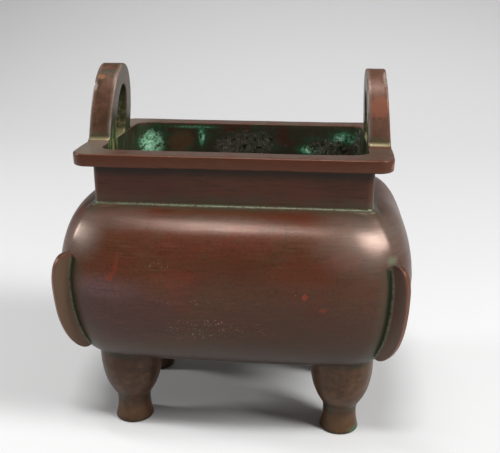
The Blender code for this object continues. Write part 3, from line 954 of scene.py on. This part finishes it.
class Surface:
    """Shader of the casting: its place fields, noises and layers of colour."""

    def __init__(self, tree):
        self.tree = tree
        coordinates = tree.nodes.new("ShaderNodeTexCoord")
        self.place = coordinates.outputs["Object"]
        self.x, self.y, self.z = self.parts(self.place)
        self.facing_x, _, self.facing_z = self.parts(coordinates.outputs["Normal"])
        self.past_mouth = (abs(self.x) - 0.5 * MOUTH_LENGTH).most(abs(self.y) - 0.5 * MOUTH_DEPTH)
        self.clouds = self.noise(0.009, 4.0, shift=7.0, twist=0.5)
        self.grain = self.noise(0.0011, 4.0, shift=2.0)
        self.brushed = self.noise(0.0008, 4.0, stretch=(14.0, 14.0, 1.0), shift=11.0)
        self.on_ear = self.z.rise(RIM_TOP_Z + 0.0002, RIM_TOP_Z + 0.0012)
        self.inside = self.stored("inside")
        self.edge = self.stored("edge")
        self.colour = WARM_BROWN
        self.roughness = self.noise(0.004, 4.0) * 0.12 + 0.30
        self.metal = self.brushed * 0.10 + (BRONZE_METALLIC - 0.05)

    def parts(self, vector):
        """The three parts of a vector socket."""
        node = self.tree.nodes.new("ShaderNodeSeparateXYZ")
        self.tree.links.new(vector, node.inputs[0])
        return [Field(self.tree, output) for output in node.outputs]

    def stored(self, name):
        """Number stored on the mesh's points under this name."""
        node = self.tree.nodes.new("ShaderNodeAttribute")
        node.attribute_name = name
        return Field(self.tree, node.outputs["Fac"])

    def moved(self, scale, shift):
        """The place on the surface, scaled and then shifted."""
        node = self.tree.nodes.new("ShaderNodeMapping")
        self.tree.links.new(self.place, node.inputs["Vector"])
        node.inputs["Scale"].default_value = scale
        node.inputs["Location"].default_value = shift
        return node.outputs[0]

    def noise(self, grain, detail=3.0, stretch=(1.0, 1.0, 1.0), shift=0.0, twist=0.0):
        """Cloudy noise whose clouds are about grain metres wide."""
        node = self.tree.nodes.new("ShaderNodeTexNoise")
        where = self.moved(tuple(1.0 / (grain * part) for part in stretch), (shift, shift, shift))
        self.tree.links.new(where, node.inputs["Vector"])
        node.inputs["Scale"].default_value = 1.0
        node.inputs["Detail"].default_value = detail
        node.inputs["Roughness"].default_value = 0.6
        node.inputs["Distortion"].default_value = twist
        return Field(self.tree, node.outputs[0])

    def specks(self, grain, size, shift=0.0):
        """Scattered dots, one to a cell of grain metres, with this share of it as radius."""
        node = self.tree.nodes.new("ShaderNodeTexVoronoi")
        where = self.moved((1.0 / grain,) * 3, (shift, shift, shift))
        self.tree.links.new(where, node.inputs["Vector"])
        node.inputs["Scale"].default_value = 1.0
        return Field(self.tree, node.outputs["Distance"]).rise(size, 0.5 * size)

    def spot(self, centre, radii, ragged=0.0, field=None, core=0.55):
        """1 in the core of an ellipsoid of these radii, with an edge broken up by a noise field."""
        scale = tuple(1.0 / radius for radius in radii)
        shift = tuple(-place / radius for place, radius in zip(centre, radii))
        node = self.tree.nodes.new("ShaderNodeVectorMath")
        node.operation = "LENGTH"
        self.tree.links.new(self.moved(scale, shift), node.inputs[0])
        distance = Field(self.tree, node.outputs["Value"])
        if field is not None:
            distance = distance + (field - 0.5) * ragged
        return distance.rise(1.0, core)

    def layer(self, mask, colour):
        """Lay a colour over what is there, where the mask is 1."""
        node = self.tree.nodes.new("ShaderNodeMix")
        node.data_type = "RGBA"
        plug(self.tree, mask, node.inputs[0])
        plug(self.tree, self.colour, node.inputs[6])
        plug(self.tree, colour, node.inputs[7])
        self.colour = node.outputs[2]

    def mixed(self, mask, value, other):
        """The value, or the other one where the mask is 1."""
        node = self.tree.nodes.new("ShaderNodeMix")
        plug(self.tree, mask, node.inputs[0])
        plug(self.tree, value, node.inputs[2])
        plug(self.tree, other, node.inputs[3])
        return Field(self.tree, node.outputs[0])

    def roughen(self, mask, roughness):
        """Bring the roughness to this value where the mask is 1."""
        self.roughness = self.mixed(mask, self.roughness, roughness)


def brown_patina(surface):
    """Brushed red, olive and purple browns, with painted shade making them darker towards the underside.
    """
    lay = surface.layer
    x, z = surface.x, surface.z
    clouds, grain, brushed = surface.clouds, surface.grain, surface.brushed
    lay(surface.noise(0.030, 3.0, shift=3.0).rise(0.42, 0.62), RED_BROWN)
    lay(z.rise(0.085, 0.050) * clouds.rise(0.25, 0.55) * 0.75, OLIVE_BROWN)
    lay(surface.spot(*PURPLE_PLACE, 0.8, clouds) * 0.85, PURPLE_BROWN)
    # Painted reflection: a lighter purple band on the belly's left front
    lay(surface.spot(*PAINTED_REFLECTION_PLACE, 0.4, clouds, core=0.0) * 0.6, PAINTED_PURPLE_REFLECTION)
    lay(surface.noise(0.016, 5.0, shift=8.0, twist=0.6).rise(0.56, 0.70) * 0.35, OLIVE_BROWN)
    lay(brushed.rise(0.52, 0.72) * clouds.rise(0.30, 0.60) * 0.38, LIGHT_BROWN)
    lay(brushed.rise(0.48, 0.30) * 0.30, DEEP_BROWN)
    lay(x.rise(-0.035, 0.015) * z.rise(0.106, 0.095) * 0.34, LOW_BROWN)
    lay(grain.rise(0.50, 0.68) * 0.40, DEEP_BROWN)
    lay(surface.noise(0.0030, 5.0, shift=14.0).rise(0.50, 0.68) * 0.35, OLIVE_BROWN)
    # Painted shade: the lower belly and the band where it turns under are darkened
    lay(z.rise(0.100, 0.055) * 0.45, LOW_BROWN)
    lay(z.rise(0.060, 0.044) * z.rise(0.036, 0.042) * 0.80, UNDERSIDE_SHADE_BROWN)


def belly_marks(surface):
    """Red scuffs, pale flecks, and bright places where hands have worn the shoulder, their pale colour
    partly a painted highlight.
    """
    lay = surface.layer
    clouds, grain, brushed = surface.clouds, surface.grain, surface.brushed
    for centre, radii, strength in RED_PATCHES:
        lay(surface.spot(centre, radii, 1.0, grain) * strength, RED_SCUFF)
    flecks = surface.noise(0.0009, 2.0, shift=17.0).rise(0.60, 0.70)
    for centre, radii in SPECKLED_PLACES:
        dots = flecks * surface.spot(centre, radii, 2.2, clouds, core=0.2)
        lay(dots * surface.noise(0.0100, 3.0, shift=15.0).rise(0.38, 0.58) * 0.65, PALE_SPECK)
    lay(surface.specks(0.0075, 0.035, 2.0) * 0.5, PALE_SPECK)
    # Pale colour here is partly wear and partly a painted highlight; metal and roughness change with it
    for centre, radii, strength in WORN_AND_HIGHLIGHT_PLACES:
        worn_and_highlight = surface.spot(centre, radii, 0.3, clouds, core=0.0) * strength
        lay(worn_and_highlight * (brushed * 0.25 + 0.30), PALE_WEAR_AND_HIGHLIGHT)
        surface.metal = surface.mixed(worn_and_highlight, surface.metal, WORN_METALLIC)
        surface.roughen(worn_and_highlight, WORN_ROUGHNESS)


def neck_patina(surface):
    """Neck: purple at the left, dark at the right, with brushed streaks."""
    lay = surface.layer
    x, brushed = surface.x, surface.brushed
    neck = surface.z.band(SHOULDER_Z + 0.001, RIM_UNDERSIDE_Z, 0.001)
    lay(neck * 0.60, NECK_BROWN)
    lay(neck * x.rise(0.0, -0.035) * 0.60, NECK_PURPLE)
    lay(neck * x.rise(0.030, 0.055) * 0.45, DEEP_BROWN)
    lay(neck * brushed.rise(0.48, 0.68) * 0.40, RED_BROWN)
    lay(neck * brushed.rise(0.50, 0.34) * 0.40, DEEP_BROWN)


def neck_dirt_and_shade(surface):
    """Green dirt at the neck's foot, and dark crust with painted shade under the rim."""
    lay = surface.layer
    x, y, z = surface.x, surface.y, surface.z
    clouds, grain = surface.clouds, surface.grain
    out_x = abs(x) - 0.5 * NECK_LENGTH
    out_y = abs(y) - 0.5 * NECK_DEPTH
    past_neck = out_x.most(0.0).length_with(out_y.most(0.0)) + out_x.most(out_y).least(0.0)
    foot = past_neck.length_with(z - SHOULDER_Z)
    head = past_neck.length_with(z - RIM_UNDERSIDE_Z)
    lay((foot + (clouds - 0.5) * 0.010).rise(0.0075, 0.0010) * 0.55, OLIVE_GREY)
    lay(foot.rise(0.0016, 0.0006) * grain.rise(0.30, 0.60) * 0.7, PALE_GREEN)
    # Dark band under the rim: crust and painted shade
    lay((head + (clouds - 0.5) * 0.003).rise(0.0072, 0.0018) * 0.85, DARK_CRUST_AND_SHADE)


def fin_patina(surface):
    """Green seams beside the fins, their flanks and their copper-coloured edges."""
    lay = surface.layer
    x, y, z = surface.x, surface.y, surface.z
    clouds, grain = surface.clouds, surface.grain
    sideways = (abs(x) * -math.sin(FIN_PLAN_ANGLE)) + (abs(y) * math.cos(FIN_PLAN_ANGLE))
    across = abs(sideways - FIN_OFFSET) - 0.5 * FIN_THICKNESS
    beside_fin = z.band(FIN_BOTTOM_Z - 0.001, FIN_TOP_Z - 0.002, 0.0015)
    lay(beside_fin * across.rise(0.0100, 0.0020) * clouds.rise(0.28, 0.52) * 0.6, OLIVE_GREY)
    lay(beside_fin * across.band(0.0008, 0.0028, 0.0012) * 0.75, DARK_GREEN)
    lay(beside_fin * across.band(0.0003, 0.0009, 0.0004) * grain.rise(0.35, 0.55) * 0.6, PALE_GREEN)
    lay(surface.spot(*FIN_TOP_DIRT, 0.8, grain, core=0.2) * 0.6, PALE_GREEN)
    flank = beside_fin * across.rise(0.0004, 0.0001)
    lay(flank * x.rise(0.0, -0.001) * 0.8, FIN_OLIVE)
    lay(flank * x.rise(0.0, 0.001) * 0.8, FIN_PURPLE)
    lay(beside_fin * across.rise(-0.0002, -0.0007) * 0.8, EDGE_COPPER)


def leg_patina(surface):
    """Mottled brown legs, green at the top, at the waist and round the foot."""
    lay = surface.layer
    x, z = surface.x, surface.z
    clouds, grain = surface.clouds, surface.grain
    leg_axis = (abs(x) - 0.5 * LEG_SPACING_X).length_with(abs(surface.y) - 0.5 * LEG_SPACING_Y)
    on_leg = z.rise(LEG_HEIGHT + 0.0005, LEG_HEIGHT - 0.0015)
    lay(on_leg * 0.5, LEG_BROWN)
    lay(on_leg * x.rise(0.0, 0.010) * 0.35, STEM_BROWN)
    leg_tone = surface.noise(0.0036, 5.0, shift=18.0)
    lay(on_leg * leg_tone.rise(0.50, 0.66) * 0.45, STEM_BROWN)
    lay(on_leg * leg_tone.rise(0.48, 0.36) * 0.45, DEEP_BROWN)
    lay(z.rise(0.0125, 0.0070) * clouds.rise(0.25, 0.60) * 0.7, STEM_BROWN)
    top = (leg_axis - LEG_CUP_RADIUS).length_with(z - LEG_HEIGHT)
    lay(top.rise(0.0040, 0.0010) * clouds.rise(0.25, 0.6) * 0.7, DARK_GREEN)
    knee = z.band(LEG_CUP_BASE_HEIGHT - 0.0026, LEG_CUP_BASE_HEIGHT + 0.0008, 0.0030)
    lay(knee * clouds.rise(0.34, 0.66) * 0.7, KNEE_GREEN)
    lay(z.rise(0.0022, 0.0006) * grain.rise(0.30, 0.6) * 0.8, DARK_GREEN)
    lay(surface.spot(*GREEN_FOOT, 0.8, grain) * 0.8, FOOT_GREEN)


def green_runs(surface, whole, front, soft_end):
    """Yellow-green runs on a whole end wall, closer together and paler in its front part."""
    lay = surface.layer
    runs = surface.noise(0.0026, 5.0, stretch=(1.0, 1.0, 5.0), shift=5.0)
    lay(whole * runs.rise(0.52, soft_end) * 0.5, YELLOW_GREEN)
    lay(front * runs.rise(0.42, 0.54) * 0.9, YELLOW_GREEN)
    lay(front * runs.rise(0.54, 0.62) * 0.8, PALE_YELLOW)


def rim_patina(surface):
    """Copper-red rim face with painted copper highlights at its ends, and a dull mauve rim top."""
    lay = surface.layer
    x, z = surface.x, surface.z
    clouds, grain = surface.clouds, surface.grain
    at_rim = z.rise(RIM_UNDERSIDE_Z - 0.0002, RIM_UNDERSIDE_Z + 0.0004)
    rim_face = at_rim * z.rise(RIM_TOP_Z + 0.0001, RIM_TOP_Z - 0.0002) * surface.facing_z.rise(0.75, 0.35)
    rim_face = rim_face * surface.past_mouth.rise(0.0030, 0.0040)
    lay(rim_face * clouds.rise(0.20, 0.50) * 0.8, RIM_RED)
    rim_top = z.band(RIM_TOP_Z - 0.0004, RIM_TOP_Z + 0.0003, 0.0003) * surface.facing_z.rise(0.6, 0.95)
    lay(rim_top * 0.8, RIM_MAUVE)
    lay(rim_top * surface.noise(0.006, 4.0, shift=4.0).rise(0.48, 0.62) * 0.6, RED_BROWN)
    lay(rim_top * x.rise(-0.046, -0.062) * 0.7, RIM_GREY)
    lay(rim_top * grain.rise(0.52, 0.66) * 0.35, DEEP_BROWN)
    surface.roughen(rim_top, 0.50)
    # Painted highlights: copper glints at the rim face's ends
    for centre, radii, strength in PAINTED_RIM_GLINTS:
        lay(at_rim * surface.spot(centre, radii, 0.8, grain) * strength, COPPER_PATCH_AND_GLINT)


def ear_patina(surface):
    """Mottled brown ears with pale patches, and greenish inner faces and feet."""
    lay = surface.layer
    x, y, z = surface.x, surface.y, surface.z
    clouds, grain = surface.clouds, surface.grain
    on_ear = surface.on_ear
    ear_tone = surface.noise(0.007, 3.0, shift=9.0)
    lay(on_ear * 0.7, EAR_BROWN)
    lay(on_ear * ear_tone.rise(0.46, 0.66) * 0.6, EAR_PINK)
    lay(on_ear * ear_tone.rise(0.50, 0.36) * 0.6, OLIVE_BROWN)
    lay(on_ear * x.rise(0.0, 0.01) * 0.45, EAR_PINK)
    lay(on_ear * grain.rise(0.52, 0.68) * 0.30, DEEP_BROWN)
    inner_face = on_ear * (surface.facing_x * x).rise(-0.02, -0.04)
    lay(inner_face * clouds.rise(0.30, 0.55) * 0.7, OLIVE_GREY)
    low_face = inner_face * (z + (clouds - 0.5) * 0.012).rise(RIM_TOP_Z + 0.0110, RIM_TOP_Z + 0.0020)
    sill = z.band(RIM_TOP_Z - 0.0010, RIM_TOP_Z + 0.0020, 0.0006) * abs(y).rise(0.0192, 0.0184)
    flush = low_face.most(sill * surface.past_mouth.rise(0.0006, 0.0004))
    lay(flush * 0.9, HOLLOW_DARK)
    green_runs(surface, flush, flush * y.rise(-0.002, -0.009), 0.64)
    for centre, radii, colour, strength in EAR_PATCHES:
        lay(on_ear * surface.spot(centre, radii, 0.8, grain) * strength, colour)
    # Pale yellow line along the ears' foot fillets: verdigris and a painted highlight
    foot_line_and_highlight = z.band(RIM_TOP_Z + 0.0008, RIM_TOP_Z + 0.0017, 0.0005) * abs(y).rise(0.0178, 0.0186)
    lay(foot_line_and_highlight * 0.7, PALE_YELLOW)
    green_foot = z.band(RIM_TOP_Z + 0.0016, RIM_TOP_Z + 0.0040, 0.0010)
    lay(green_foot * clouds.rise(0.35, 0.55) * 0.6, OLIVE_GREEN)


def ear_opening_patina(surface):
    """Green and pale yellow dirt in the ears' openings, a pale sill that is partly a painted highlight,
    and the right ear's arch edge, partly worn and partly a painted highlight.
    """
    lay = surface.layer
    x, y, z = surface.x, surface.y, surface.z
    on_ear = surface.on_ear
    climb = ((z - RIM_TOP_Z) * (1.0 / (LEFT_EAR_HEIGHT - EAR_CROWN))).least(1.0).most(0.0)
    narrowed = climb.math("POWER", EAR_OPENING_POWER)
    half = (narrowed * -1.0 + 1.0).math("SQRT") * (0.5 * EAR_OPENING_WIDTH)
    opening = on_ear * (abs(y) - half).rise(0.0007, 0.0003)
    lay(opening * 0.85, OLIVE_GREEN)
    blotches = surface.noise(0.0022, 5.0, shift=16.0)
    lay(opening * blotches.rise(0.45, 0.62) * climb.rise(0.75, 0.35) * 0.6, PALE_YELLOW)
    lay(opening * blotches.rise(0.48, 0.34) * 0.6, HOLLOW_DARK)
    on_sill = z.band(RIM_TOP_Z - 0.0006, RIM_TOP_Z + 0.0006, 0.0004) * abs(y).rise(0.0092, 0.0082)
    on_sill = on_sill * abs(x).rise(0.0575, 0.0590)
    lay(on_sill * 0.85, OLIVE_GREEN)
    # Pale yellow on the sill: patina and a painted highlight
    lay(on_sill * abs(x).rise(0.0650, 0.0620) * 0.8, PALE_YELLOW)
    lay(opening * climb.rise(0.60, 0.95) * 0.8, HOLLOW_DARK)
    lay(opening * climb.rise(0.10, 0.02) * 0.8, PALE_YELLOW)
    # Pale line along the arch's front edge: edge wear and a painted highlight
    arch_wear_and_highlight = surface.edge * on_ear * y.rise(0.0, -0.004) * x.rise(0.066, 0.062)
    lay(arch_wear_and_highlight * 0.7, PALE_WEAR_AND_HIGHLIGHT)


def worn_edges(surface):
    """Copper showing along the edges, away from the mouth."""
    high_on_ear = surface.z.rise(RIM_TOP_Z + 0.009, RIM_TOP_Z + 0.012)
    clear_of_mouth = surface.past_mouth.rise(0.0008, 0.0022).most(high_on_ear)
    edge = surface.edge * clear_of_mouth
    surface.layer(edge * surface.clouds.rise(0.30, 0.62) * 0.6, EDGE_COPPER)


def hollow_patina(surface):
    """Dark green-brown inside with turquoise verdigris, streaks and a rough crust."""
    lay = surface.layer
    x, y, grain = surface.x, surface.y, surface.grain
    base = surface.inside * surface.z.rise(RIM_TOP_Z - 0.0001, RIM_TOP_Z - 0.0011)
    lay(base, HOLLOW_DARK)
    surface.roughen(base, 0.62)
    mottled = surface.noise(0.010, 6.0, shift=1.0, twist=1.2)
    fine = surface.noise(0.0024, 6.0, shift=12.0, twist=0.4)
    veins = abs(surface.noise(0.0042, 4.0, shift=13.0, twist=1.0) - 0.5)
    lay(base * surface.noise(0.012, 4.0, shift=6.0).rise(0.50, 0.62) * 0.8, HOLLOW_RED)
    lay(base * mottled.rise(0.50, 0.66) * 0.45, HOLLOW_GREEN)
    lay(base * surface.spot(*RED_HOLLOW_PLACE, 1.2, mottled) * 0.7, HOLLOW_LEFT)
    on_ends = base * abs(x).rise(0.052, 0.059)
    below_ear = on_ends * y.rise(-0.002, -0.009) * y.rise(-0.026, -0.019)
    green_runs(surface, on_ends, below_ear, 0.66)
    for centre, radii, colour, strength in VERDIGRIS:
        patch = surface.spot(centre, radii, 2.2, fine)
        wider = tuple(1.5 * radius for radius in radii)
        lay(base * surface.spot(centre, wider, 2.0, mottled) * 0.5, HOLLOW_GREEN)
        lay(base * patch * fine.rise(0.36, 0.52) * grain.rise(0.28, 0.44) * strength, colour)
        lay(base * patch * fine.rise(0.50, 0.62) * grain.rise(0.40, 0.56) * strength, PALE_MINT)
    for centre, radii, strength in CRUSTS:
        crust = base * surface.spot(centre, radii, 1.6, mottled)
        lay(crust * 0.75, CRUST_GREY)
        lay(crust * fine.rise(0.50, 0.40), BLACK_CRUST)
        lay(crust * veins.rise(0.035, 0.010) * grain.rise(0.40, 0.60) * strength, PALE_GREEN)


def patinated_bronze():
    """Finish of the whole casting."""
    material = bpy.data.materials.new("patinated_bronze")
    material.use_nodes = True
    tree = material.node_tree
    shader = tree.nodes["Principled BSDF"]
    surface = Surface(tree)
    brown_patina(surface)
    belly_marks(surface)
    neck_patina(surface)
    neck_dirt_and_shade(surface)
    fin_patina(surface)
    leg_patina(surface)
    rim_patina(surface)
    ear_patina(surface)
    ear_opening_patina(surface)
    worn_edges(surface)
    hollow_patina(surface)
    tree.links.new(surface.colour, shader.inputs["Base Color"])
    tree.links.new(surface.roughness.socket, shader.inputs["Roughness"])
    tree.links.new(surface.metal.socket, shader.inputs["Metallic"])
    shader.inputs["Specular IOR Level"].default_value = BRONZE_SPECULAR
    shader.inputs["Coat Weight"].default_value = WAX_WEIGHT
    shader.inputs["Coat Roughness"].default_value = WAX_ROUGHNESS
    pits = surface.specks(0.0019, 0.14, 9.0) * surface.clouds.rise(0.45, 0.60)
    relief = surface.grain * 0.35 + surface.brushed * 0.22 - pits * 0.8
    relief = relief + surface.inside * surface.grain * 1.6
    bump = tree.nodes.new("ShaderNodeBump")
    bump.inputs["Strength"].default_value = 0.5
    bump.inputs["Distance"].default_value = BUMP_DEPTH
    tree.links.new(relief.socket, bump.inputs["Height"])
    tree.links.new(bump.outputs["Normal"], shader.inputs["Normal"])
    return material


def build_camera():
    """Camera at the photograph's place, looking down at the burner."""
    forward = Vector((
        math.sin(CAMERA_YAW) * math.cos(CAMERA_PITCH),
        math.cos(CAMERA_YAW) * math.cos(CAMERA_PITCH),
        -math.sin(CAMERA_PITCH),
    ))
    level = Vector((math.cos(CAMERA_YAW), -math.sin(CAMERA_YAW), 0.0))
    down = forward.cross(level)
    right = level * math.cos(CAMERA_ROLL) + down * math.sin(CAMERA_ROLL)
    down = down * math.cos(CAMERA_ROLL) - level * math.sin(CAMERA_ROLL)
    data = bpy.data.cameras.new("camera")
    data.lens = CAMERA_LENS_MM
    data.sensor_width = CAMERA_SENSOR_MM
    data.clip_start = 0.01
    camera = bpy.data.objects.new("camera", data)
    turn = Matrix((right, -down, -forward)).transposed()
    camera.matrix_world = Matrix.Translation(CAMERA_PLACE) @ turn.to_4x4()
    bpy.context.scene.collection.objects.link(camera)
    bpy.context.scene.camera = camera


def build_floor():
    """Pale studio paper: a floor that sweeps up behind into a backdrop."""
    profile = [(PAPER_FRONT, 0.0), (PAPER_BEND_START, 0.0)]
    for step in range(1, PAPER_BEND_STEPS + 1):
        angle = QUARTER_TURN * step / PAPER_BEND_STEPS
        y = PAPER_BEND_START + PAPER_BEND_RADIUS * math.sin(angle)
        profile.append((y, PAPER_BEND_RADIUS * (1.0 - math.cos(angle))))
    profile.append((PAPER_BEND_START + PAPER_BEND_RADIUS, PAPER_HEIGHT))
    mesh = bmesh.new()
    rows = [[mesh.verts.new((side * PAPER_HALF_WIDTH, y, z)) for side in (-1.0, 1.0)] for y, z in profile]
    for low, high in zip(rows, rows[1:]):
        mesh.faces.new((low[0], low[1], high[1], high[0]))
    data = bpy.data.meshes.new("studio_floor")
    mesh.to_mesh(data)
    mesh.free()
    data.shade_smooth()
    material = bpy.data.materials.new("pale_paper")
    material.use_nodes = True
    shader = material.node_tree.nodes["Principled BSDF"]
    shader.inputs["Base Color"].default_value = (PAPER_GREY, PAPER_GREY, PAPER_GREY, 1.0)
    shader.inputs["Roughness"].default_value = PAPER_ROUGHNESS
    shader.inputs["Specular IOR Level"].default_value = 0.0
    data.materials.append(material)
    floor = bpy.data.objects.new("studio_floor", data)
    bpy.context.scene.collection.objects.link(floor)


def build_lights():
    """Soft rectangular lights, each facing its target, and a faint even glow from the room."""
    for name, place, target, size, power in LIGHTS:
        data = bpy.data.lights.new(name, "AREA")
        data.shape = "RECTANGLE"
        data.size, data.size_y = size
        data.energy = power
        light = bpy.data.objects.new(name, data)
        light.location = place
        light.rotation_euler = (Vector(place) - Vector(target)).to_track_quat("Z", "Y").to_euler()
        bpy.context.scene.collection.objects.link(light)
    world = bpy.data.worlds.new("studio")
    world.use_nodes = True
    background = world.node_tree.nodes["Background"]
    background.inputs["Color"].default_value = (1.0, 1.0, 1.0, 1.0)
    background.inputs["Strength"].default_value = ROOM_GLOW
    bpy.context.scene.world = world
    bpy.context.scene.view_settings.view_transform = "Standard"


build_camera()
casting = build_casting()
hollow_points = mark_hollow(casting.data)
mark_edges(casting.data)
age_surface(casting.data, hollow_points)
casting.data.shade_smooth()
casting.data.set_sharp_from_angle(angle=SHARP_ANGLE)
casting.data.materials.clear()
casting.data.materials.append(patinated_bronze())
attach(casting, "root")
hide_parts("incense_burner")
build_floor()
build_lights()
